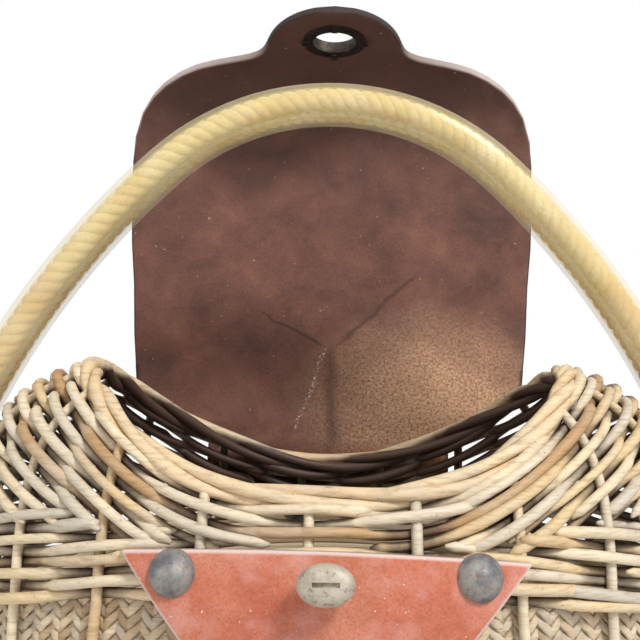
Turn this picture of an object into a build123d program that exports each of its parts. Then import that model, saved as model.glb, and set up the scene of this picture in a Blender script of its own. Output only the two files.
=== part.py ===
from build123d import *

import math
import os

# Wicker creel with a riveted leather lid, a turn lock and a twin-tube handle.
#
# Millimetres, +Z up, X across the front, front of the creel towards -Y.
# The origin is the middle of the base, on the surface that the creel stands on.
# Every dimension of the basket is given on the middle surface of its woven wall.

os.makedirs("parts", exist_ok=True)

# ---------------------------------------------------------------- basket form
HALF_WIDTH = 144.0  # of the belly, X
HALF_DEPTH = 80.0  # of the belly, Y
WIDEST_Z_SIDE = 85.0  # height of the belly's widest line at the ends
WIDEST_Z_FRONT = 100.0  # and at the front and back
CROWN_Z = 188.0  # where the shoulders would meet if there were no mouth
CROWN_Z_FRONT = 192.0
FOOT_TAPER_SIDE = 0.08  # share of the half width lost towards the base
FOOT_TAPER_FRONT = 0.10
BASE_SQUARENESS = 0.4  # added to the ellipse's exponent at the base

WALL_HALF = 4.5  # half the thickness of the woven wall
BORDER_HALF = 5.2
FOOT_HEIGHT = 9.0
BASE_THICKNESS = 7.0

# ---------------------------------------------------------------- mouth
MOUTH_HALF_WIDTH = 95.0
MOUTH_HALF_DEPTH = 66.0
RIM_FRONT_Z = 138.5
RIM_BACK_Z = 133.0
HORN_RISE_FRONT = 43.0  # rise of the rim from the front middle to the horns
HORN_RISE_BACK = 49.0
BORDER_BELOW = 6.0
BORDER_ABOVE = 2.5

# ---------------------------------------------------------------- plaited band
BAND_TOP_Z = 104.0  # at the front middle; the band falls towards the ends
BAND_HEIGHT = 34.0
BAND_FALL = 20.0
BAND_FALL_AT = 150.0
BRAID_OUTER = -2.6  # offset from the wall's middle surface
STAKE_COUNT = 19
STAKE_RADIUS = 1.8
STAKE_OFFSET = 0.7  # outwards from the wall's middle surface
FIRST_STAKE_X = -6.0

# ---------------------------------------------------------------- leather
LEATHER = 4.0
PATCH_THICKNESS = 3.5
PATCH_HALF_WIDTH = 69.0
PATCH_CORNER_Z = 119.0
PATCH_TOP_Z = 122.5
PATCH_TIP_Z = 31.0  # where the straight sides would meet
PATCH_TIP_RADIUS = 9.0

# ---------------------------------------------------------------- rivets
RIVET_HEAD_R = 8.3
RIVET_HEAD_H = 6.0
RIVET_SHANK_R = 2.0
RIVET_FIT = 0.05
WASHER_R = 7.0
WASHER_T = 1.2
PATCH_RIVETS = ((-51.5, 112.5), (51.5, 112.5), (0.0, 56.0))
STRIP_RIVET_X = (-40.0, -14.0, 14.0, 40.0)
STRIP_RIVET_Z = 113.0
STRIP_HEAD_R = 5.5
STRIP_HEAD_H = 3.2

# ---------------------------------------------------------------- turn lock
KNOB_Z = 110.5
KNOB_LENGTH = 19.4
KNOB_WIDTH = 14.2
KNOB_THICKNESS = 6.5
KNOB_STANDOFF = 8.2  # underside of the knob above the patch
KNOB_POST_R = 4.0
KNOB_SLOT = (9.0, 1.6, 1.6)
SPINDLE_R = 2.0
RUNNING_FIT = 0.06
COLLAR_R = 6.5
COLLAR_T = 1.2
BACKPLATE_R = 8.5
BACKPLATE_T = 1.5
SPINDLE_HEAD_R = 3.6
SPINDLE_HEAD_T = 1.4
END_PLAY = 0.3

# ---------------------------------------------------------------- lid
LID_HINGE_Y = 76.0  # the fold's line, in the middle of the leather
LID_HINGE_Z = 140.0
LID_LEAN = 17.0  # degrees that the open lid leans back
LID_STRAIGHT = 140.0
LID_CURL_RADIUS = 45.0
LID_CURL_END = 68.0  # degrees forward of upright at the tab
TAB_RADIUS = 33.0
TAB_CENTRE = 9.5  # of the tab's round end, from the end of the curl
TAB_ROOT_HALF = 37.0
EYELET_FROM_CURL = 21.0
LID_HINGE_HALF = 58.0  # half width of the lid at its hinge
LID_LOW_HALF = 95.0
LID_LOW_Z = 168.0
CREST_FOLD_S = 80.0  # distance along the leather from the hinge
RIM_FOLD_S = 176.0
FOLD_GAP = 0.35  # between the rounded edge of a stretch of leather and its neighbour
STRIP_HALF_WIDTH = 58.0
STRIP_BOTTOM_Z = 98.0
STRIP_STANDOFF = 1.5  # the strip bridges the border and stands off the wall

EYELET_HOLE = (20.8, 15.4)
EYELET_RING = (30.0, 23.5)
EYELET_PLATE = 1.1
EYELET_BARREL_WALL = 1.0
PRONG = (4.4, 1.2, 2.6)

# ---------------------------------------------------------------- handle
TUBE_R = 7.0
TUBE_BORE_R = 5.3
ROPE_R = 5.2
TUBE_SPACING = 19.0
ARCH_TOP_Z = 289.0  # of the tubes' centre lines
ARCH_TOP_RADIUS = 103.0
ARCH_TURN = 42.0  # degrees from the top to where the legs begin
ARCH_LEG_RADIUS = 340.0
ARCH_LEG_Z = 168.0  # below this the legs run straight
TUBE_END_Z = 141.0
SOCKET_R = 8.6
SOCKET_BELOW = 2.5
SOCKET_ABOVE = 13.0
SOCKET_FIT = 0.05
PIVOT_Z = 121.0
PIVOT_X = (159.5, 165.5)  # the yoke's lug, between its two faces
PIVOT_BOSS_R = 8.5
STUD_R = 3.0
STUD_FIT = 0.06
STUD_HEAD_R = 6.5
STUD_HEAD_T = 3.5
PAD_R = 12.0
PAD_THICKNESS = 2.5
SPACER_R = 7.0
NUT_R = 6.0
NUT_T = 4.0


# ================================================================ basket surface
def half_width(z):
    """Half the creel's width at height z."""
    if z < WIDEST_Z_SIDE:
        return HALF_WIDTH * (1 - FOOT_TAPER_SIDE * ((WIDEST_Z_SIDE - z) / WIDEST_Z_SIDE) ** 2)
    rise = min((z - WIDEST_Z_SIDE) / (CROWN_Z - WIDEST_Z_SIDE), 1.0)
    return HALF_WIDTH * (1 - rise**5) ** 0.4


def half_depth(z):
    """Half the creel's depth at height z."""
    if z < WIDEST_Z_FRONT:
        return HALF_DEPTH * (1 - FOOT_TAPER_FRONT * ((WIDEST_Z_FRONT - z) / WIDEST_Z_FRONT) ** 2)
    rise = min((z - WIDEST_Z_FRONT) / (CROWN_Z_FRONT - WIDEST_Z_FRONT), 1.0)
    return HALF_DEPTH * (1 - rise**1.5) ** 0.6


def squareness(z):
    """Exponent of the plan outline: an ellipse above, squarer towards the base."""
    return 2 + BASE_SQUARENESS * max(0.0, 1 - z / WIDEST_Z_FRONT)


def offset_half(profile, z, offset):
    """Half axis at height z of a profile moved outwards, square to itself, by offset."""
    low, high = -15.0, CROWN_Z - 0.2
    for _ in range(50):
        mid = (low + high) / 2
        slope = (profile(mid + 0.05) - profile(mid - 0.05)) / 0.1
        length = math.hypot(1, slope)
        if mid - offset * slope / length < z:
            low = mid
        else:
            high = mid
    return profile(mid) + offset / length


def outline_point(angle, z, offset):
    """Point of the offset wall at a plan angle, counted from +X."""
    a = offset_half(half_width, z, offset)
    b = offset_half(half_depth, z, offset)
    power = 2 / squareness(z)
    c, s = math.cos(angle), math.sin(angle)
    return Vector(
        a * math.copysign(abs(c) ** power, c),
        b * math.copysign(abs(s) ** power, s),
        z,
    )


def body_solid(offset, levels):
    """Closed solid of the basket's form, moved outwards by offset."""
    steps = 32
    rings = []
    for z in levels:
        points = [outline_point(2 * math.pi * i / steps, z, offset) for i in range(steps)]
        rings.append(Wire([Edge.make_spline(points, periodic=True)]))
    return Solid.make_loft(rings)


FULL_LEVELS = (0.0, 25.0, 50.0, 75.0, 100.0, 120.0, 138.0, 152.0, 163.0, 172.0, 179.0, 185.0)
VOID_LEVELS = (-3.0, 25.0, 50.0, 75.0, 100.0, 120.0, 138.0, 152.0, 163.0, 171.0, 177.0, 181.0)


def shell(outer, inner):
    """Hollow wall between two offsets of the basket's form."""
    return body_solid(outer, FULL_LEVELS) - body_solid(inner, VOID_LEVELS)


def skin(thickness, standoff=0.0):
    """Layer of leather that lies on the outside of the woven wall."""
    inner = WALL_HALF + standoff
    return body_solid(inner + thickness, FULL_LEVELS) - body_solid(inner, FULL_LEVELS)


def side_y(x, z, offset, side):
    """Y of the offset wall at x and z, on the front (-1) or the back (+1)."""
    a = offset_half(half_width, z, offset)
    b = offset_half(half_depth, z, offset)
    n = squareness(z)
    return side * b * (1 - abs(x / a) ** n) ** (1 / n)


def side_plane(x, z, offset, side):
    """Plane on the offset wall, its Z axis square to the wall and its X axis level."""
    step = 0.5
    here = Vector(x, side_y(x, z, offset, side), z)
    across = Vector(x + step, side_y(x + step, z, offset, side), z) - here
    up = Vector(x, side_y(x, z + step, offset, side), z + step) - here
    normal = across.cross(up)
    if normal.Y * side < 0:
        normal = normal * -1
    return Plane(origin=here, x_dir=across, z_dir=normal)


# ================================================================ cutters
def rim_height(x, y):
    """Height of the mouth's edge: a saddle that rises to a horn at each end."""
    reach = abs(x) / MOUTH_HALF_WIDTH
    front = RIM_FRONT_Z + HORN_RISE_FRONT * reach**2.8
    back = RIM_BACK_Z + HORN_RISE_BACK * reach**2
    share = 0.5 * (1 + y / MOUTH_HALF_DEPTH)
    return front * (1 - share) + back * share


def above_rim(lift):
    """Everything above the saddle of the mouth, moved up by lift."""
    reach_x, reach_y, top = 112.0, 100.0, 260.0
    count = 14
    ends = []
    for y in (-reach_y, reach_y):
        xs = [-reach_x + 2 * reach_x * i / count for i in range(count + 1)]
        curve = Edge.make_spline([Vector(x, y, rim_height(x, y) + lift) for x in xs])
        left, right = curve @ 0, curve @ 1
        top_left, top_right = Vector(-reach_x, y, top), Vector(reach_x, y, top)
        sides = [
            Edge.make_line(right, top_right),
            Edge.make_line(top_right, top_left),
            Edge.make_line(top_left, left),
        ]
        ends.append(Wire([curve] + sides))
    return Solid.make_loft(ends, ruled=True)


def below_arc(middle_z):
    """Everything below a level that falls from middle_z towards the two ends."""
    reach = 175.0
    bend = BAND_FALL / BAND_FALL_AT**2
    end_z = middle_z - bend * reach**2
    arc = Edge.make_three_point_arc(
        Vector(-reach, -120, end_z), Vector(0, -120, middle_z), Vector(reach, -120, end_z)
    )
    low_left, low_right = Vector(-reach, -120, -40), Vector(reach, -120, -40)
    sides = [
        Edge.make_line(arc @ 1, low_right),
        Edge.make_line(low_right, low_left),
        Edge.make_line(low_left, arc @ 0),
    ]
    return extrude(Face(Wire([arc] + sides)), amount=240, dir=(0, 1, 0))


def slab(low, high):
    """Everything between two heights."""
    return Pos(0, 0, (low + high) / 2) * Box(500, 400, high - low)


# ================================================================ small hardware
def dome(radius, height):
    """Domed rivet head standing on the XY plane."""
    ball = (radius**2 + height**2) / (2 * height)
    return Pos(0, 0, height - ball) * Sphere(ball) & Pos(0, 0, height / 2) * Box(
        3 * radius, 3 * radius, height
    )


def pin(radius, low, high):
    """Round pin along Z between two heights."""
    return Pos(0, 0, (low + high) / 2) * Cylinder(radius, high - low)


def ring(outer, inner, low, high):
    """Flat ring along Z between two heights."""
    return pin(outer, low, high) - pin(inner, low - 1, high + 1)


# ================================================================ basket pieces
wall = shell(WALL_HALF, -WALL_HALF)
saddle_low = above_rim(-BORDER_BELOW)
band_top = below_arc(BAND_TOP_Z)
band_bottom = below_arc(BAND_TOP_Z - BAND_HEIGHT)

knob_plane = side_plane(0.0, KNOB_Z, WALL_HALF, -1)

upper_wall = wall - saddle_low - band_top
lower_wall = (wall & band_bottom) - slab(-10, FOOT_HEIGHT)

rim_border = (shell(BORDER_HALF, -BORDER_HALF) & saddle_low) - above_rim(BORDER_ABOVE)

braid = (shell(BRAID_OUTER, -WALL_HALF) & band_top) - band_bottom

foot = body_solid(WALL_HALF + 1, (0.0, 4.0, FOOT_HEIGHT)) - body_solid(-WALL_HALF, (-2.0, 4.0, 11.0))
foot = foot & slab(0, FOOT_HEIGHT)
base = body_solid(-WALL_HALF, (-2.0, 4.0, 11.0)) & slab(0, BASE_THICKNESS)


# ---------------------------------------------------------------- stakes
def stake_angles():
    """Plan angles of the stakes, evenly spaced along the wall."""
    steps = 720
    points = [outline_point(2 * math.pi * i / steps, BAND_TOP_Z, 0.0) for i in range(steps + 1)]
    run = [0.0]
    for i in range(steps):
        run.append(run[-1] + (points[i + 1] - points[i]).length)
    front = [i for i in range(steps) if points[i].Y < 0]
    first = min(front, key=lambda i: abs(points[i].X - FIRST_STAKE_X))
    angles = []
    for k in range(STAKE_COUNT):
        target = (run[first] + k * run[-1] / STAKE_COUNT) % run[-1]
        index = min(range(steps), key=lambda i: abs(run[i] - target))
        angles.append(2 * math.pi * index / steps)
    return angles


def stake(angle):
    """Oblique rod across the plaited band."""
    def level(x, z):
        return z - BAND_FALL * (x / BAND_FALL_AT) ** 2

    x = outline_point(angle, BAND_TOP_Z, 0.0).X
    foot_point = outline_point(angle, level(x, BAND_TOP_Z - BAND_HEIGHT) - 3, STAKE_OFFSET)
    head_point = outline_point(angle, level(x, BAND_TOP_Z) + 3, STAKE_OFFSET)
    run = head_point - foot_point
    return extrude(Plane(foot_point, z_dir=run) * Circle(STAKE_RADIUS), amount=run.length)


stakes = [(stake(angle) & band_top) - band_bottom for angle in stake_angles()]

# ================================================================ front patch
patch_half_top = math.atan2(PATCH_HALF_WIDTH, PATCH_CORNER_Z - PATCH_TIP_Z)
patch_top = Edge.make_three_point_arc(
    Vector(-PATCH_HALF_WIDTH, 0, PATCH_CORNER_Z),
    Vector(0, 0, PATCH_TOP_Z),
    Vector(PATCH_HALF_WIDTH, 0, PATCH_CORNER_Z),
)
tip_centre_z = PATCH_TIP_Z + PATCH_TIP_RADIUS / math.sin(patch_half_top)
tip_x = PATCH_TIP_RADIUS * math.cos(patch_half_top)
tip_z = tip_centre_z - PATCH_TIP_RADIUS * math.sin(patch_half_top)
patch_tip = Edge.make_three_point_arc(
    Vector(tip_x, 0, tip_z),
    Vector(0, 0, tip_centre_z - PATCH_TIP_RADIUS),
    Vector(-tip_x, 0, tip_z),
)
patch_outline = Wire(
    [
        patch_top,
        Edge.make_line(patch_top @ 1, patch_tip @ 0),
        patch_tip,
        Edge.make_line(patch_tip @ 1, patch_top @ 0),
    ]
)
patch_prism = extrude(Face(patch_outline), amount=130, dir=(0, -1, 0))
front_patch = patch_prism & skin(PATCH_THICKNESS)

# ================================================================ rivets and turn lock
def rivet(plane, cover, leather, head_r, head_h):
    """Domed rivet through a leather cover and the wall, clinched over its washer."""
    inner = -leather - 2 * WALL_HALF
    end = inner - WASHER_T - 1.5
    head = plane * (dome(head_r, head_h) + pin(head_r, -0.3, 0)) - cover
    shank = pin(RIVET_SHANK_R, end, 1)
    clinch = pin(RIVET_SHANK_R + 1.4, end, inner - WASHER_T - 0.2)
    return head + plane * (shank + clinch)


def rivet_washer(plane, leather):
    """Washer bedded against the inner side of the wall."""
    inner = -leather - 2 * WALL_HALF
    blank = ring(WASHER_R, RIVET_SHANK_R + RIVET_FIT, inner - WASHER_T - 0.2, inner + 1)
    return plane * blank - wall


def rivet_hole(plane):
    """Clearance hole for a rivet's shank."""
    return plane * pin(RIVET_SHANK_R + RIVET_FIT, -25, 3)


def outward(plane, distance):
    """Plane moved along its own Z axis."""
    return Plane(origin=plane.origin + plane.z_dir * distance, x_dir=plane.x_dir, z_dir=plane.z_dir)


rivet_planes = [outward(side_plane(x, z, WALL_HALF, -1), PATCH_THICKNESS) for x, z in PATCH_RIVETS]
patch_rivets = [
    rivet(plane, front_patch, PATCH_THICKNESS, RIVET_HEAD_R, RIVET_HEAD_H) for plane in rivet_planes
]
patch_washers = [rivet_washer(plane, PATCH_THICKNESS) for plane in rivet_planes]
collar_top = PATCH_THICKNESS + COLLAR_T
lock_collar = knob_plane * ring(COLLAR_R, SPINDLE_R + RUNNING_FIT, PATCH_THICKNESS - 0.3, collar_top)
lock_collar = lock_collar - front_patch
plate_bottom = -2 * WALL_HALF - BACKPLATE_T - 0.3
plate = ring(BACKPLATE_R, SPINDLE_R + RUNNING_FIT, plate_bottom, -2 * WALL_HALF + 1)
lock_backplate = knob_plane * plate - wall

knob_low = PATCH_THICKNESS + KNOB_STANDOFF
knob_body = extrude(Pos(0, 0, knob_low) * Ellipse(KNOB_LENGTH / 2, KNOB_WIDTH / 2), amount=KNOB_THICKNESS)
knob_body = fillet(knob_body.edges().group_by(Axis.Z)[-1], 4.2)
knob_body = fillet(knob_body.edges().group_by(Axis.Z)[0], 1.2)
knob_post = pin(KNOB_POST_R, collar_top + END_PLAY, knob_low + 1)
knob_slot = Pos(0, 0, knob_low + KNOB_THICKNESS - KNOB_SLOT[2] / 2) * Box(*KNOB_SLOT)
spindle_top = knob_low + 3
turn_knob = knob_body + knob_post - knob_slot - pin(SPINDLE_R, 0, spindle_top)
spindle_low = plate_bottom - END_PLAY - SPINDLE_HEAD_T
knob_spindle = pin(SPINDLE_R, spindle_low, spindle_top) + pin(
    SPINDLE_HEAD_R, spindle_low, spindle_low + SPINDLE_HEAD_T
)
turn_knob = knob_plane * turn_knob
knob_spindle = knob_plane * knob_spindle


# ================================================================ lid
def lid_heading(s):
    """Degrees forward of upright of the open lid at distance s from its hinge."""
    bend = (s - LID_STRAIGHT) / LID_CURL_RADIUS
    return min(max(-LID_LEAN + math.degrees(bend), -LID_LEAN), LID_CURL_END)


CURL_LENGTH = math.radians(LID_CURL_END + LID_LEAN) * LID_CURL_RADIUS
CURL_END_S = LID_STRAIGHT + CURL_LENGTH


def lid_point(s, side=0.0, x=0.0):
    """Point of the open lid; side is the distance from mid-leather to the outer face."""
    lean = math.radians(LID_LEAN)
    heading = math.radians(lid_heading(s))
    straight = min(s, LID_STRAIGHT)
    y = LID_HINGE_Y + straight * math.sin(lean)
    z = LID_HINGE_Z + straight * math.cos(lean)
    y -= LID_CURL_RADIUS * (math.cos(lean) - math.cos(heading)) if s > LID_STRAIGHT else 0
    z += LID_CURL_RADIUS * (math.sin(lean) + math.sin(heading)) if s > LID_STRAIGHT else 0
    past = max(s - CURL_END_S, 0.0)
    y -= past * math.sin(heading)
    z += past * math.cos(heading)
    return Vector(x, y + side * math.cos(heading), z + side * math.sin(heading))


def lid_run(start, stop, side, x):
    """Edges of one face of the leather from start to stop."""
    marks = [start] + [m for m in (LID_STRAIGHT, CURL_END_S) if start < m < stop] + [stop]
    edges = []
    for a, b in zip(marks, marks[1:]):
        if LID_STRAIGHT <= a and b <= CURL_END_S:
            middle = lid_point((a + b) / 2, side, x)
            edges.append(
                Edge.make_three_point_arc(lid_point(a, side, x), middle, lid_point(b, side, x))
            )
        else:
            edges.append(Edge.make_line(lid_point(a, side, x), lid_point(b, side, x)))
    return edges


def lid_sheet(start, stop):
    """Leather between two distances from the hinge, its first edge rounded."""
    t = LEATHER / 2
    half = 110
    inner, outer = lid_run(start, stop, -t, -half), lid_run(start, stop, t, -half)
    caps = [
        Edge.make_three_point_arc(
            lid_point(start, -t, -half), lid_point(start - t, 0, -half), lid_point(start, t, -half)
        ),
        Edge.make_line(lid_point(stop, -t, -half), lid_point(stop, t, -half)),
    ]
    return extrude(Face(Wire(inner + outer + caps)), amount=2 * half, dir=(1, 0, 0))


def lid_outline():
    """Prism of the lid's front view: rounded shoulders and a waist at the hinge."""
    side = [(LID_LOW_HALF, LID_LOW_Z), (99.5, 215), (104, 250), (104.5, 276), (101.8, 297), (94, 312)]
    side += [(82, 321.5), (64, 326.5), (50, 328.6)]
    low, top = 130.0, 338.0

    def half_outline(sign):
        points = [Vector(sign * x, 0, z) for x, z in side]
        waist = Vector(sign * LID_HINGE_HALF, 0, LID_HINGE_Z)
        return [
            Edge.make_line(Vector(sign * LID_HINGE_HALF, 0, low), waist),
            Edge.make_tangent_arc(waist, Vector(0, 0, 1), points[0]),
            Edge.make_spline(points),
            Edge.make_line(points[-1], Vector(sign * 39.0, 0, top)),
        ]

    edges = half_outline(1) + half_outline(-1)
    edges.append(Edge.make_line(Vector(-LID_HINGE_HALF, 0, low), Vector(LID_HINGE_HALF, 0, low)))
    edges.append(Edge.make_line(Vector(-39, 0, top), Vector(39, 0, top)))
    return extrude(Face(Wire(edges)), amount=200, dir=(0, 1, 0))


fold_clearance = LEATHER / 2 + FOLD_GAP
outline = lid_outline()
lid_rear = lid_sheet(0, CREST_FOLD_S - fold_clearance) & outline
lid_front = lid_sheet(CREST_FOLD_S, RIM_FOLD_S - fold_clearance) & outline
shoulders = lid_sheet(RIM_FOLD_S, CURL_END_S + 12) & outline

tab_heading = math.radians(LID_CURL_END)
tab_plane = Plane(
    origin=lid_point(CURL_END_S, -LEATHER / 2),
    x_dir=(-1, 0, 0),
    z_dir=(0, math.cos(tab_heading), math.sin(tab_heading)),
)
tab_face = Pos(0, TAB_CENTRE) * Circle(TAB_RADIUS) + Pos(0, TAB_CENTRE / 2) * Rectangle(
    2 * TAB_ROOT_HALF, TAB_CENTRE
)
tab_face = tab_face & Pos(0, 50) * Rectangle(200, 100)
tab = tab_plane * extrude(tab_face, amount=LEATHER)
eyelet_plane = tab_plane * Pos(0, EYELET_FROM_CURL, 0)


def oval(size, low, high):
    """Oval prism on the tab, between two heights above the leather's inner face."""
    return extrude(Pos(0, 0, low) * Ellipse(size[0] / 2, size[1] / 2), amount=high - low)


barrel = (EYELET_HOLE[0] + 2 * EYELET_BARREL_WALL, EYELET_HOLE[1] + 2 * EYELET_BARREL_WALL)
lid_flap = shoulders + tab - eyelet_plane * oval(barrel, -2, LEATHER + 2)

outer_plate = oval(EYELET_RING, LEATHER, LEATHER + EYELET_PLATE) + oval(barrel, -EYELET_PLATE, LEATHER)
outer_plate = outer_plate - oval(EYELET_HOLE, -3, LEATHER + 3)
eyelet_front = eyelet_plane * outer_plate

inner_plate = oval(EYELET_RING, -EYELET_PLATE, 0) - oval(barrel, -3, 3)
prongs = []
for dx, dy, turn in ((1, 0, 0), (-1, 0, 0), (0, 1, 90), (0, -1, 90)):
    px = dx * (EYELET_RING[0] / 2 - PRONG[0] / 2 + 0.8)
    py = dy * (EYELET_RING[1] / 2 - PRONG[0] / 2 + 0.8)
    prong = Rot(0, 0, turn) * Box(PRONG[0], PRONG[2], PRONG[1])
    prongs.append(Pos(px, py, -EYELET_PLATE - PRONG[1] / 2) * prong)
for item in prongs:
    inner_plate = inner_plate + item
inner_plate = inner_plate - oval(barrel, -6, 3)
eyelet_back = eyelet_plane * inner_plate

# ---------------------------------------------------------------- strip that fastens the lid
strip_offset = WALL_HALF + STRIP_STANDOFF
strip_levels = [STRIP_BOTTOM_Z + 9 * i for i in range(5)]
strip_top = LID_HINGE_Z - fold_clearance


def strip_section(x):
    """Edges of the strip's lengthwise section at x."""
    side = Vector(x, 0, 0)
    inner = [Vector(x, side_y(x, z, strip_offset, 1), z) for z in strip_levels]
    outer = [Vector(x, side_y(x, z, strip_offset + LEATHER, 1), z) for z in strip_levels]
    inner.append(side + Vector(0, LID_HINGE_Y - LEATHER / 2, strip_top))
    outer.append(side + Vector(0, LID_HINGE_Y + LEATHER / 2, strip_top))
    return Wire(
        [
            Edge.make_spline(inner),
            Edge.make_line(inner[-1], outer[-1]),
            Edge.make_spline(outer[::-1]),
            Edge.make_line(outer[0], inner[0]),
        ]
    )


strip_stations = [STRIP_HALF_WIDTH * i / 4 for i in range(-4, 5)]
hinge_strip = Solid.make_loft([strip_section(x) for x in strip_stations])

strip_planes = [
    outward(side_plane(x, STRIP_RIVET_Z, strip_offset, 1), LEATHER) for x in STRIP_RIVET_X
]
strip_leather = LEATHER + STRIP_STANDOFF
strip_rivets = [
    rivet(plane, hinge_strip, strip_leather, STRIP_HEAD_R, STRIP_HEAD_H) for plane in strip_planes
]
strip_washers = [rivet_washer(plane, strip_leather) for plane in strip_planes]

# ================================================================ handle
turn = math.radians(ARCH_TURN)
ARCH_CENTRE_Z = ARCH_TOP_Z - ARCH_TOP_RADIUS
LEG_CENTRE_X = -(ARCH_LEG_RADIUS - ARCH_TOP_RADIUS) * math.sin(turn)
LEG_CENTRE_Z = ARCH_CENTRE_Z - (ARCH_LEG_RADIUS - ARCH_TOP_RADIUS) * math.cos(turn)
leg_turn = math.acos((ARCH_LEG_Z - LEG_CENTRE_Z) / ARCH_LEG_RADIUS)
leg_x = LEG_CENTRE_X + ARCH_LEG_RADIUS * math.sin(leg_turn)
tube_end_x = leg_x + (ARCH_LEG_Z - TUBE_END_Z) / math.tan(leg_turn)


def arch_point(angle, y):
    """Centre line of a tube at a turn from the top of the arch."""
    if abs(angle) <= turn:
        return Vector(
            ARCH_TOP_RADIUS * math.sin(angle), y, ARCH_CENTRE_Z + ARCH_TOP_RADIUS * math.cos(angle)
        )
    side = math.copysign(1, angle)
    x = LEG_CENTRE_X + ARCH_LEG_RADIUS * math.sin(abs(angle))
    return Vector(side * x, y, LEG_CENTRE_Z + ARCH_LEG_RADIUS * math.cos(angle))


def arch_wire(y):
    """Centre line of one tube: a round top and two long slack legs."""
    marks = (-leg_turn, -turn, turn, leg_turn)
    edges = [Edge.make_line(Vector(-tube_end_x, y, TUBE_END_Z), arch_point(-leg_turn, y))]
    for a, b in zip(marks, marks[1:]):
        edges.append(
            Edge.make_three_point_arc(arch_point(a, y), arch_point((a + b) / 2, y), arch_point(b, y))
        )
    edges.append(Edge.make_line(arch_point(leg_turn, y), Vector(tube_end_x, y, TUBE_END_Z)))
    return Wire(edges)


def along_arch(y, radius):
    """Round rod along a tube's centre line."""
    path = arch_wire(y)
    start = Plane(origin=path @ 0, z_dir=path % 0)
    return sweep(start * Circle(radius), path=path)


def handle_tube(y):
    """Clear tube with its bore."""
    return along_arch(y, TUBE_R) - along_arch(y, TUBE_BORE_R)


def yoke(side):
    """Casting that holds both tube ends and turns on the pivot stud."""
    lug_face = make_hull(
        (
            Pos(0, 0) * Circle(PIVOT_BOSS_R)
            + Pos(TUBE_SPACING / 2, TUBE_END_Z - PIVOT_Z - 4) * Circle(6)
            + Pos(-TUBE_SPACING / 2, TUBE_END_Z - PIVOT_Z - 4) * Circle(6)
        ).edges()
    )
    lug_plane = Plane(origin=(side * PIVOT_X[0], 0, PIVOT_Z), x_dir=(0, side, 0), z_dir=(side, 0, 0))
    body = extrude(lug_plane * lug_face, amount=PIVOT_X[1] - PIVOT_X[0])
    bores = []
    for y in (-TUBE_SPACING / 2, TUBE_SPACING / 2):
        end = Vector(side * tube_end_x, y, TUBE_END_Z)
        up = Vector(-side * math.cos(leg_turn), 0, math.sin(leg_turn))
        socket = Plane(origin=end, x_dir=(0, 1, 0), z_dir=up)
        body = body + socket * pin(SOCKET_R, -SOCKET_BELOW, SOCKET_ABOVE)
        bores.append(socket * pin(TUBE_R + SOCKET_FIT, 0, SOCKET_ABOVE + 10))
    for bore in bores:
        body = body - bore
    axle = lug_plane * pin(STUD_R + STUD_FIT, -20, 20)
    return body - axle


def end_x(offset):
    """X of the offset wall on the pivot's line."""
    return offset_half(half_width, PIVOT_Z, offset)


def stud_plane(side):
    """Plane on the pivot's line at the creel's middle, Z axis outwards."""
    return Plane(origin=(0, 0, PIVOT_Z), x_dir=(0, 1, 0), z_dir=(side, 0, 0))


inside_x = end_x(-WALL_HALF)
pad_x = offset_half(half_width, PIVOT_Z - SPACER_R, WALL_HALF + PAD_THICKNESS) + 0.05


def pivot_stud(side):
    """Headed stud that the yoke turns on, with its shank through the wall."""
    shank = pin(STUD_R, inside_x - NUT_T - 3, PIVOT_X[1] + END_PLAY + 1)
    head = Pos(0, 0, PIVOT_X[1] + END_PLAY) * dome(STUD_HEAD_R, STUD_HEAD_T)
    return stud_plane(side) * (shank + head)


def stud_spacer(side):
    """Tube spacer between the leather pad and the yoke."""
    return stud_plane(side) * ring(SPACER_R, STUD_R + RIVET_FIT, pad_x, PIVOT_X[0] - END_PLAY)


def stud_nut(side):
    """Square nut over a washer bedded against the inner side of the wall."""
    low = inside_x - WASHER_T - 1.5
    washer = pin(WASHER_R, low, inside_x + 1)
    nut = Pos(0, 0, low - NUT_T / 2) * Box(2 * NUT_R, 2 * NUT_R, NUT_T)
    return stud_plane(side) * (washer + nut - pin(STUD_R, 0, 200)) - wall


def end_pad(side):
    """Round leather pad under the pivot, shaped to the end of the creel."""
    disc = pin(PAD_R, 100, 200) - pin(STUD_R + RIVET_FIT, 0, 220)
    return stud_plane(side) * disc & pad_skin


pad_skin = skin(PAD_THICKNESS)
stud_holes = [stud_plane(side) * pin(STUD_R + RIVET_FIT, 0, 220) for side in (-1, 1)]

# ================================================================ holes through the wall
patch_holes = [rivet_hole(plane) for plane in rivet_planes]
patch_holes.append(knob_plane * pin(SPINDLE_R + RUNNING_FIT, -20, 12))
strip_holes = [rivet_hole(plane) for plane in strip_planes]
for hole in patch_holes:
    front_patch = front_patch - hole
    lower_wall = lower_wall - hole
for hole in patch_holes + strip_holes + stud_holes:
    upper_wall = upper_wall - hole
for hole in strip_holes:
    hinge_strip = hinge_strip - hole


def together(items):
    """One compound of all the solids of several shapes."""
    return Compound(children=[solid for item in items for solid in item.solids()])


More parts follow.
